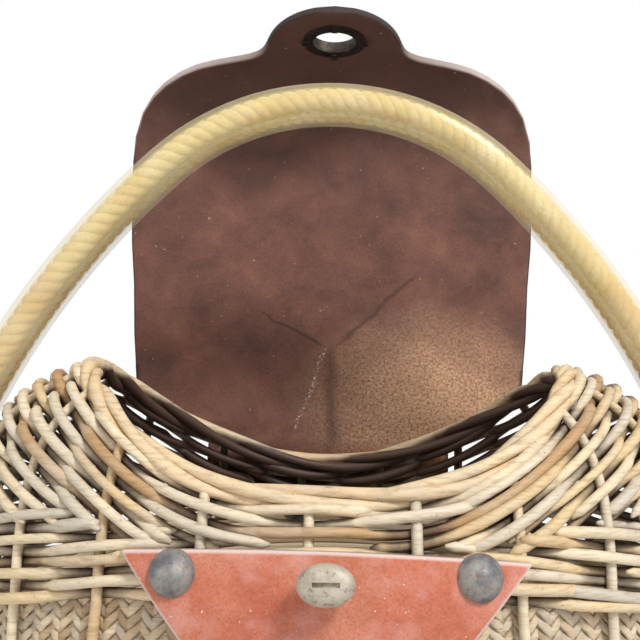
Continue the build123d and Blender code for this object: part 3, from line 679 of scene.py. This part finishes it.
def packing_rods(rods, field, low_height, high_height):
    """Short rods that fill the wedges at the ends, where the wall is higher than in front."""

    def room(u):
        phi = phi_of(u % STAKES)
        return field.span(phi) - low_height - high_height

    for end in (0.0, np.pi):
        run = np.interp(end, PHI, _run)
        middle = ((run - _run[_first]) / PERIMETER * STAKES) % STAKES
        count = int(room(np.array([middle]))[0] / PACK_PITCH)
        for j in range(count):
            distance = (j + 0.5) * PACK_PITCH
            from_top = distance < TOP_SHARE * count * PACK_PITCH
            share = TOP_SHARE if from_top else 1 - TOP_SHARE
            depth = distance if from_top else (count - j - 0.5) * PACK_PITCH
            reach = []
            for way in (-1, 1):
                steps = np.arange(0.3, 6, 0.1)
                fits = share * room(middle + way * steps) > depth
                reach.append(float(steps[np.argmin(fits)]) + rng.uniform(-0.2, 0.35))
            u = np.linspace(middle - reach[0], middle + reach[1], int(sum(reach) * STEPS_PER_STAKE) + 3)
            wedge = room(u)
            height = low_height + (wedge - distance if from_top else depth)
            radius = ROD_R * rng.uniform(0.9, 1.12)
            weave_rod(rods, field, u, height, j % 2, radius, rng.random() < 0.6)


weave = Rods()
low_height = LOW_ROUNDS * ROUND_PITCH
high_height = HIGH_ROUNDS * ROUND_PITCH
for k in range(LOW_ROUNDS):
    round_rods(weave, upper, lambda phi: (k + 0.5) * ROUND_PITCH + 0 * phi, k % 2)
for k in range(HIGH_ROUNDS):
    round_rods(weave, upper, lambda phi: upper.span(phi) - (k + 0.5) * ROUND_PITCH, (k + 1) % 2)
packing_rods(weave, upper, low_height, high_height)
weave_upper = weave.build("woven_upper_wall")
weave_upper.data.materials.append(WILLOW)
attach(weave_upper, "basket")
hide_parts("upper_wall")

weave = Rods()
for k in range(LOWER_WALL_ROUNDS):
    round_rods(weave, lower, lambda phi: (k + 0.5) / LOWER_WALL_ROUNDS * lower.span(phi), k % 2)
weave_lower = weave.build("woven_lower_wall")
weave_lower.data.materials.append(WILLOW)
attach(weave_lower, "basket")
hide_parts("lower_wall")

stake_rods = Rods()
for k in range(STAKES):
    phi = phi_of(k)
    z_low, z_high = lower.height(phi, 0.0), upper.height(phi, 1.0)
    z = np.linspace(float(z_low), float(z_high), 40)
    offset = 0.3 * np.sin(z * 0.05 + k) + 0.3
    normal = wall_normal(phi + 0 * z, z)
    thick = 1.9 + 0.15 * rng.random()
    stake_rods.add(wall(phi + 0 * z, z, offset), thick, wall_offset=offset, normal=normal)
stakes = stake_rods.build("stake_rods")
stakes.data.materials.append(WILLOW)
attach(stakes, "basket")
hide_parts("side_stakes")


# ======== rope-like borders
def border(name, path, normal, strand_r, coil_r, twist):
    """Three rods twisted round a closed path."""
    rods = Rods()
    n = len(path)
    tangent = unit(np.roll(path, -1, 0) - np.roll(path, 1, 0))
    across = np.cross(tangent, normal)
    turn = np.linspace(0, 2 * np.pi * twist, n, endpoint=False)
    for k in range(3):
        a = turn + 2 * np.pi * k / 3
        centre = path + coil_r * np.cos(a)[:, None] * normal + coil_r * np.sin(a)[:, None] * across
        thick = strand_r * (1 + 0.1 * np.sin(3 * a + k))
        rods.add(centre, thick, sides=9, closed=True, wall_offset=coil_r * np.cos(a), normal=normal)
    obj = rods.build(name)
    obj.data.materials.append(WILLOW_RIM)
    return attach(obj, "basket")


ring_phi = np.linspace(-np.pi, np.pi, 480, endpoint=False)
rim_z = solve_height(ring_phi, lambda x, y: rim_height(x, y) - 1.5)
rim_rods = border("rolled_rim_rods", wall(ring_phi, rim_z), wall_normal(ring_phi, rim_z), 2.35, 2.5, 6)
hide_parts("rim_border")
foot_z = np.full_like(ring_phi, 4.9)
foot_path = wall(ring_phi, foot_z, 0.3)
foot_rods = border("rolled_foot_rods", foot_path, wall_normal(ring_phi, foot_z), 2.3, 2.4, 9)
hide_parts("foot_border")

# -------- woven base
base_rods = Rods()
edge = wall_point(ring_phi, 4.0)
for i, share in enumerate(np.linspace(0.05, 0.955, 15)):
    wave = 0.9 * np.cos(22 * ring_phi + np.pi * i)
    path = edge * np.array([share, share, 1.0])
    path[:, 2] = 4.1 + wave
    base_rods.add(path, 2.0, closed=True)
for x in np.linspace(-114, 114, 13):
    reach = 66 * math.sqrt(1 - (abs(x) / 133) ** 2.4)
    line = np.stack([np.full(12, x), np.linspace(-reach, reach, 12), np.full(12, 4.1)], -1)
    base_rods.add(line, 1.9)
base = base_rods.build("woven_base")
base.data.materials.append(WILLOW_RIM)
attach(base, "basket")
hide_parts("basket_base")

# -------- plaited straw band
STRIP_W = 3.5
PLAIT_STRIPS = 4 * round(PERIMETER / 4.7 / 4)
PLAIT_TOP, PLAIT_ROWS, PLAIT_HEIGHT = 4.0, 2, 19.5


def band_height(phi, down):
    """Height of a line of the plait, down being millimetres below the band's top."""
    x = wall_point(phi, 95.0)[..., 0]
    return level(BAND_TOP, x) - down


plait = Rods()
strip_pitch = PERIMETER / PLAIT_STRIPS
for row in range(PLAIT_ROWS):
    for direction in (-1, 1):
        for j in range(PLAIT_STRIPS):
            down = np.linspace(-0.6, PLAIT_HEIGHT + 0.6, 30)
            crossing = 2 * down / strip_pitch
            over = direction * np.sin(np.pi / 2 * (crossing - 2 * direction * j) + np.pi / 4)
            u = (j * strip_pitch + direction * down) / PERIMETER * STAKES
            phi = phi_of(u % STAKES)
            z = band_height(phi, down - PLAIT_TOP + row * (PLAIT_HEIGHT - 0.8))
            fold = np.clip(1 - np.minimum(down, PLAIT_HEIGHT - down) / 1.5, 0, 1)
            offset = -3.1 + 0.85 * over - 0.5 * fold
            path = wall(phi, z, offset)
            plait.add(path, STRIP_W / 2, sides=6, flat=0.3, up=wall_normal(phi, z), taper=0.04)
plait_obj = plait.build("plaited_straw_strips")
plait_obj.data.materials.append(STRAW)
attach(plait_obj, "basket")

backing = Rods()
for down in np.linspace(-2.0, BAND_HEIGHT - 0.5, 10):
    phi = np.linspace(-np.pi, np.pi, 240, endpoint=False)
    z = band_height(phi, down)
    backing.add(wall(phi, z, -4.3), 2.3, sides=6, flat=0.22, up=wall_normal(phi, z), closed=True)
back_obj = backing.build("plait_backing_straws")
back_obj.data.materials.append(STRAW)
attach(back_obj, "basket")
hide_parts("plaited_band")


# ======== leather patch
def smooth_noise(x, y, seed, scale):
    """Slow waviness from a few sine waves."""
    local = np.random.default_rng(seed)
    total = 0
    for _ in range(5):
        a, b = local.normal(0, 1.0 / scale, 2)
        total = total + np.sin(a * x + b * y + local.uniform(0, 6.28))
    return total / 5


def sheet_faces(rows, cols, hole=None):
    """Quads of a sheet's two faces and its long edges; the inner face's points come second."""
    shift = rows * cols
    faces = []
    for i in range(rows - 1):
        for j in range(cols - 1):
            if hole is not None and hole[i : i + 2, j : j + 2].any():
                continue
            a = i * cols + j
            faces.append((a, a + cols, a + cols + 1, a + 1))
            faces.append((shift + a, shift + a + 1, shift + a + cols + 1, shift + a + cols))
        for j in (0, cols - 1):
            a, b = i * cols + j, (i + 1) * cols + j
            quad = (a, b, shift + b, shift + a)
            faces.append(quad if j else quad[::-1])
    return faces


def end_faces(rows, cols, row):
    """Quads that close a sheet at its first or last row."""
    shift = rows * cols
    quads = []
    for a in range(row * cols, row * cols + cols - 1):
        quad = (a, shift + a, shift + a + 1, a + 1)
        quads.append(quad if row else quad[::-1])
    return quads


def two_faces(outer, inner):
    """Points of both faces of a sheet in one list."""
    return np.concatenate([outer.reshape(-1, 3), inner.reshape(-1, 3)])


def wall_at(x, z, offset):
    """Point on the front of the wall at x and z, moved outwards."""

    def front_y(x, z):
        power = plan_power(z)
        ratio = np.clip(np.abs(x) / half_width(z), 0, 0.999)
        return -half_depth(z) * (1 - ratio**power) ** (1 / power)

    y = front_y(x, z)
    step = 0.4
    across = np.stack([np.full_like(x, step), front_y(x + step, z) - y, np.zeros_like(x)], -1)
    up = np.stack([np.zeros_like(x), front_y(x, z + step) - y, np.full_like(x, step)], -1)
    normal = unit(np.cross(across, up))
    return np.stack([x, y, z], -1) + normal * np.asarray(offset)[..., None]


def patch_face(x, z, offset):
    """Point of the patch seen from the front at x and z, offset from the wall's middle."""
    at_x, at_z = x + 0.0, z + 0.0
    for _ in range(4):
        point = wall_at(at_x, at_z, offset)
        at_x = at_x + x - point[..., 0]
        at_z = at_z + z - point[..., 2]
    return wall_at(at_x, at_z, offset)


PATCH_CORNER_Z, PATCH_TOP_Z, PATCH_TIP_Z = 118.0, 121.5, 36.5
PATCH_HALF_WIDTH = 70.8
PATCH_TURN = math.radians(1.0)
PATCH_OUTER, PATCH_INNER = 8.0, 4.6  # faces of the leather, outwards from mid-wall
OUTLINE_Z = [PATCH_TIP_Z, 37.2, 39.5, 43.5, PATCH_CORNER_Z, 122.5]
OUTLINE_HALF = [0.0, 3.6, 7.0, 10.2, PATCH_HALF_WIDTH, PATCH_HALF_WIDTH]
t = np.linspace(0, 1, 76)[:, None] ** 1.15
even = np.linspace(-1, 1, 76)[None, :]
w = 0.4 * np.sin(even * np.pi / 2) + 0.6 * even
top_z = PATCH_CORNER_Z + (PATCH_TOP_Z - PATCH_CORNER_Z) * (1 - w**2)
flat_z = top_z * (1 - t) + PATCH_TIP_Z * t
half = np.interp(flat_z, OUTLINE_Z, OUTLINE_HALF)
flat_x = w * half
drop = flat_z - PATCH_CORNER_Z
patch_x = flat_x * math.cos(PATCH_TURN) + drop * math.sin(PATCH_TURN)
patch_z = PATCH_CORNER_Z + drop * math.cos(PATCH_TURN) - flat_x * math.sin(PATCH_TURN)
rim_dist = np.minimum(t * 84 + 0 * w, (1 - np.abs(w)) * half * 0.8)
worn = np.clip(1 - rim_dist / 1.3, 0, 1)
lift = 0.35 * smooth_noise(patch_x, patch_z, 3, 22)
outer_face = patch_face(patch_x, patch_z, PATCH_OUTER - 0.4 * worn**2 + lift)
inner_face = patch_face(patch_x, patch_z, PATCH_INNER + 0 * lift)
rows, cols = worn.shape
faces = sheet_faces(rows, cols) + end_faces(rows, cols, 0) + end_faces(rows, cols, rows - 1)
faces = [face[::-1] for face in faces]
edges = {"edge": np.tile(worn.ravel(), 2)}
patch = make_mesh("front_patch_leather", two_faces(outer_face, inner_face), faces, edges)
patch.data.materials.append(PATCH_LEATHER)
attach(patch, "basket")
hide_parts("front_patch")

# ======== lid
HINGE = (76.0, 140.0)
LEAN, CURL_END = math.radians(17.0), math.radians(68.0)
STRAIGHT, CURL_R = 140.0, 45.0
CURL_END_S = STRAIGHT + (LEAN + CURL_END) * CURL_R
LID_END_S = CURL_END_S + 42.5
TAB_CENTRE_S, TAB_R = CURL_END_S + 9.5, 33.0
EYELET_S = CURL_END_S + 21.0


def lid_at(s, side):
    """(y, z) of the open lid at distance s from its hinge, side millimetres to its outer face."""
    s = np.asarray(s, float)
    heading = np.clip(-LEAN + (s - STRAIGHT) / CURL_R, -LEAN, CURL_END)
    straight = np.minimum(s, STRAIGHT)
    y = HINGE[0] + straight * math.sin(LEAN)
    z = HINGE[1] + straight * math.cos(LEAN)
    bent = s > STRAIGHT
    y = y - np.where(bent, CURL_R * (math.cos(LEAN) - np.cos(heading)), 0)
    z = z + np.where(bent, CURL_R * (math.sin(LEAN) + np.sin(heading)), 0)
    past = np.clip(s - CURL_END_S, 0, None)
    y = y - past * np.sin(heading)
    z = z + past * np.cos(heading)
    return y + side * np.cos(heading), z + side * np.sin(heading)


PROFILE_S = [0, 4, 8, 12, 20, 29.4, 55, 81, 103, 128, 149, 162]
PROFILE_S += [175, 184, 191, 198, 203.5, 207.5, 210.3, 212, 214]
PROFILE_X = [58, 67, 74, 79.5, 89, 95, 98, 100, 102.6, 104.3, 104.8, 103.6]
PROFILE_X += [99.4, 93.5, 87, 78, 68.6, 58, 48.5, 43, 39]
TAB_FROM_S = PROFILE_S[-1]


def lid_half(s):
    """Half the lid's width at distance s: a waist, rounded shoulders and a round tab."""
    s = np.asarray(s, float)
    main = np.interp(s, PROFILE_S, PROFILE_X)
    tab = TAB_R * np.sqrt(np.clip(1 - ((s - TAB_CENTRE_S) / (LID_END_S - TAB_CENTRE_S)) ** 2, 0, 1))
    fillet = 6.1 * np.exp(-np.clip(s - TAB_FROM_S, 0, None) / 3.5)
    return np.where(s > TAB_FROM_S, tab + fillet * (s < LID_END_S - 1), main)


def lid_face(s, x, side):
    """Point of the lid's leather, with its slow waviness."""
    bend = 1.6 * smooth_noise(s, x, 11, 45) * np.clip(s / 60, 0, 1) * np.clip((235 - s) / 60, 0.15, 1)
    crease = 0.9 * np.exp(-(((s - (12 + 0.02 * x)) / 5) ** 2))
    y, z = lid_at(s, side + bend - crease)
    return np.stack([x + 0 * y, y, z], -1)


LID_COLUMNS = np.concatenate([[-1, -0.994], np.linspace(-0.987, 0.987, 86), [0.994, 1]])[None, :]
LEATHER_HALF = 2.0  # half the lid's thickness
EYELET_HOLE = (12.2, 9.4)
CREST_STRETCH, FRONT_STRETCH = (38, 128), (128, LID_END_S)


def leather_values(s, x, worn):
    """Numbers that the leather's material reads, for both faces of a sheet."""
    values = {"edge": worn, "across": x, "along": s}
    both = {key: np.tile(v.ravel(), 2) for key, v in values.items()}
    return {**both, "underside": np.repeat([0.0, 1.0], worn.size)}


def lid_object(name, stretch, step):
    """A stretch of the lid's leather, with the eyelet's hole open."""
    start, stop = stretch
    s = np.linspace(start, stop, int((stop - start) / step))[:, None]
    half = lid_half(s)
    x = LID_COLUMNS * half
    s = s + 0 * x
    flare = np.gradient(half[:, 0], s[:, 0])[:, None]
    rim = (1 - np.abs(LID_COLUMNS)) * half / np.sqrt(1 + flare**2)
    tip = np.clip(LID_END_S - s, 0, None) * 0.8
    worn = np.clip(1 - np.minimum(rim, tip) / 1.4, 0, 1)
    side = LEATHER_HALF - 0.55 * worn**2
    rows, cols = s.shape
    hole = (x / EYELET_HOLE[0]) ** 2 + ((s - EYELET_S) / EYELET_HOLE[1]) ** 2 < 1
    faces = sheet_faces(rows, cols, hole)
    if stop == LID_END_S:
        faces += end_faces(rows, cols, rows - 1)
    points = two_faces(lid_face(s, x, side), lid_face(s, x, -side))
    obj = make_mesh(name, points, faces, leather_values(s, x, worn))
    obj.data.materials.append(LID_LEATHER)
    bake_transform(obj)
    return obj


lid_b = lid_object("lid_leather_crest", CREST_STRETCH, 3.0)
lid_c = lid_object("lid_leather_front", FRONT_STRETCH, 1.3)
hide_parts("lid_rear", "lid_front")
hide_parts("lid_flap")


STRIP_BOTTOM_Z, STRIP_TOP_Z, STRIP_HALF_WIDTH = 98.0, 131.0, 58.0
STRIP_OUTER, STRIP_INNER = 10.0, 6.0  # faces of the fixed strip, outwards from mid-wall


def hinge_piece():
    """The fixed strip and the first stretch of the lid, one leather that bends at the hinge."""
    z_low = np.linspace(STRIP_BOTTOM_Z, STRIP_TOP_Z, 16)[:, None]
    half = STRIP_HALF_WIDTH - 2.0 * np.clip((104 - z_low) / 6, 0, 1) ** 2
    x = LID_COLUMNS * half
    power = plan_power(z_low)
    s = np.linspace(0.0, CREST_STRETCH[0], 16)[:, None] + 0 * LID_COLUMNS
    grids = []
    for offset, side in ((STRIP_OUTER, LEATHER_HALF), (STRIP_INNER, -LEATHER_HALF)):
        ratio = np.abs(x) / (half_width(z_low) + offset)
        y = (half_depth(z_low) + offset * 0.93) * (1 - ratio**power) ** (1 / power)
        low = np.stack([x, y, z_low + 0 * x], -1)
        grids.append(np.concatenate([low, lid_face(s, LID_COLUMNS * lid_half(s), side)]))
    outer, inner = grids
    rows, cols = outer.shape[:2]
    worn = np.clip(1 - (1 - np.abs(LID_COLUMNS)) * STRIP_HALF_WIDTH / 2, 0, 1) + 0 * outer[..., 0]
    along = np.concatenate([z_low - HINGE[1] + 0 * x, s])
    faces = sheet_faces(rows, cols) + end_faces(rows, cols, 0)
    values = leather_values(along, outer[..., 0], worn)
    obj = make_mesh("lid_leather_hinge", two_faces(outer, inner), faces, values)
    obj.data.materials.append(LID_LEATHER)
    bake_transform(obj)
    return obj


hinge_leather = hinge_piece()
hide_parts("hinge_strip")

# ======== rope in the handle
turn = math.radians(42.0)
TOP_R, LEG_R, TOP_Z = 103.0, 340.0, 289.0
LEG_END_Z, ROPE_END_Z = 168.0, 142.0
ROPE_Y, ROPE_PITCH = 9.5, 15.6
STRAND_R, STRAND_OFFSET = 2.35, 2.55
centre_z = TOP_Z - TOP_R
leg_cx = -(LEG_R - TOP_R) * math.sin(turn)
leg_cz = centre_z - (LEG_R - TOP_R) * math.cos(turn)
leg_turn = math.acos((LEG_END_Z - leg_cz) / LEG_R)


def arch(count):
    """Centre line of a tube, evenly spaced, as (x, z)."""
    a = np.linspace(0, turn, 200)
    b = np.linspace(turn, leg_turn, 200)[1:]
    x = np.concatenate([TOP_R * np.sin(a), leg_cx + LEG_R * np.sin(b)])
    z = np.concatenate([centre_z + TOP_R * np.cos(a), leg_cz + LEG_R * np.cos(b)])
    drop = np.linspace(0, LEG_END_Z - ROPE_END_Z, 40)[1:]
    x = np.concatenate([x, x[-1] + drop / math.tan(leg_turn)])
    z = np.concatenate([z, LEG_END_Z - drop])
    x = np.concatenate([-x[::-1], x[1:]])
    z = np.concatenate([z[::-1], z[1:]])
    run = np.concatenate([[0], np.cumsum(np.hypot(np.diff(x), np.diff(z)))])
    even = np.linspace(0, run[-1], count)
    return np.interp(even, run, x), np.interp(even, run, z), run[-1]


for label, y in (("front", -ROPE_Y), ("rear", ROPE_Y)):
    rope = Rods()
    count = 640
    ax, az, length = arch(count)
    path = np.stack([ax, np.full(count, y), az], -1)
    tangent = unit(np.gradient(path, axis=0))
    side = np.broadcast_to(np.array([0.0, 1.0, 0.0]), tangent.shape)
    across = np.cross(tangent, side)
    for k in range(3):
        a = 2 * np.pi * (np.linspace(0, length, count) / ROPE_PITCH + k / 3)
        centre = path + STRAND_OFFSET * (np.cos(a)[:, None] * side + np.sin(a)[:, None] * across)
        rope.add(centre, STRAND_R, sides=10)
    rope_obj = rope.build(f"rope_{label}_strands")
    rope_obj.data.materials.append(ROPE)
    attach(rope_obj, "handle")
    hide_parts(f"rope_core_{label}")

# -------- leather pads at the pivots
PAD_R, PIVOT_Z, PAD_SIDES = 12.0, 121.0, 48
PAD_OUTER, PAD_INNER = 7.0, 4.6  # faces of the pads, outwards from mid-wall
PAD_RINGS = [0.0, 0.25, 0.5, 0.8, 0.93, 1.0]
turns = np.linspace(0, 2 * np.pi, PAD_SIDES, endpoint=False)
for label, sign in (("left", -1), ("right", 1)):
    verts, edge_value = [], []
    for outwards, rounding in ((PAD_OUTER, 0.8), (PAD_INNER, 0.0)):
        for r in PAD_RINGS:
            y = PAD_R * r * np.cos(turns)
            z = PIVOT_Z + PAD_R * r * np.sin(turns)
            ratio = np.abs(y) / (half_depth(z) + outwards)
            worn_r = np.clip((r - 0.9) / 0.1, 0, 1)
            offset = outwards - rounding * worn_r
            x = sign * ((half_width(z) + offset) * np.sqrt(1 - ratio**2))
            verts.append(np.stack([x, y, z], -1))
            edge_value.append(np.full(PAD_SIDES, worn_r))
    count = len(PAD_RINGS)
    strips = [(i, i + 1, True) for i in range(count - 1)]
    strips += [(count + i, count + i + 1, False) for i in range(count - 1)]
    strips.append((count - 1, 2 * count - 1, True))
    faces = []
    for inner_ring, outer_ring, outside in strips:
        for k in range(PAD_SIDES):
            m = (k + 1) % PAD_SIDES
            a, b = inner_ring * PAD_SIDES, outer_ring * PAD_SIDES
            quad = (a + k, a + m, b + m, b + k)
            faces.append(quad if outside == (sign > 0) else quad[::-1])
    points = np.concatenate(verts)
    values = {"edge": np.concatenate(edge_value), "across": points[:, 1], "along": points[:, 2] - 60.0}
    pad = make_mesh(f"pivot_pad_{label}", points, faces, values)
    pad.data.materials.append(LID_LEATHER)
    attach(pad, "basket")
    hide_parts(f"end_pad_{label}")

# ======== stage, lights and camera
FLOOR_FADE = (0.3, 0.75)  # metres from the creel
FLOOR_GLOW_NEAR = 0.3


def floor_material():
    """Pale floor that takes the creel's shadow near it and fades to white further out."""
    mat, tree, shader = material("stage_white")
    tree.nodes.remove(shader)
    g = Graph(tree)
    place = g.node("ShaderNodeTexCoord").outputs["Object"]
    distance = g.vector("LENGTH", place, output="Value")
    far = g.spread(distance, *FLOOR_FADE, FLOOR_GLOW_NEAR, 1.0)
    diffuse = g.node("ShaderNodeBsdfDiffuse", inputs={"Color": (0.9, 0.9, 0.89, 1)})
    glow = g.node("ShaderNodeEmission", inputs={"Color": (1, 1, 1, 1), "Strength": 1.0})
    mixed = g.node(
        "ShaderNodeMixShader",
        inputs={0: g.math("MULTIPLY", far, g.not_lit()), 1: diffuse.outputs[0], 2: glow.outputs[0]},
    )
    tree.links.new(mixed.outputs[0], tree.nodes["Material Output"].inputs["Surface"])
    return mat


bpy.ops.mesh.primitive_plane_add(size=14.0, location=(0, 0, 0))
floor = bpy.context.object
floor.name = "floor"
floor.data.materials.append(floor_material())

scene = bpy.context.scene
world = bpy.data.worlds.new("studio")
scene.world = world
world.use_nodes = True
g = Graph(world.node_tree)
output = world.node_tree.nodes["World Output"]
soft = g.node("ShaderNodeBackground", inputs={"Color": (1, 1, 1, 1), "Strength": 0.45})
seen = g.node("ShaderNodeBackground", inputs={"Color": (1, 1, 1, 1), "Strength": 1.0})
mixed = g.node("ShaderNodeMixShader", inputs={0: g.not_lit(), 1: soft.outputs[0], 2: seen.outputs[0]})
world.node_tree.links.new(mixed.outputs[0], output.inputs["Surface"])


def area(name, place, aim, size, power):
    """Soft square lamp."""
    data = bpy.data.lights.new(name, "AREA")
    data.size = size
    data.energy = power
    lamp = bpy.data.objects.new(name, data)
    lamp.location = place
    direction = np.array(aim) - np.array(place)
    pitch = math.atan2(math.hypot(direction[0], direction[1]), -direction[2])
    lamp.rotation_euler = (pitch, 0, math.atan2(-direction[0], direction[1]))
    scene.collection.objects.link(lamp)


area("key", (1.0, -1.3, 1.8), (0, 0, 0.15), 0.5, 46)
area("fill", (-1.8, -1.6, 1.3), (0, 0, 0.15), 1.8, 14)

camera_data = bpy.data.cameras.new("camera")
camera_data.sensor_width = 36.0
camera_data.lens = 59.06
camera_data.shift_x = -0.0156
camera_data.shift_y = 0.0078
camera_data.clip_start = 0.01
camera = bpy.data.objects.new("camera", camera_data)
camera.location = (0, -0.435, 0.198)
camera.rotation_euler = (math.radians(90), math.radians(-0.9), 0)
scene.collection.objects.link(camera)
scene.camera = camera
scene.view_settings.view_transform = "Standard"
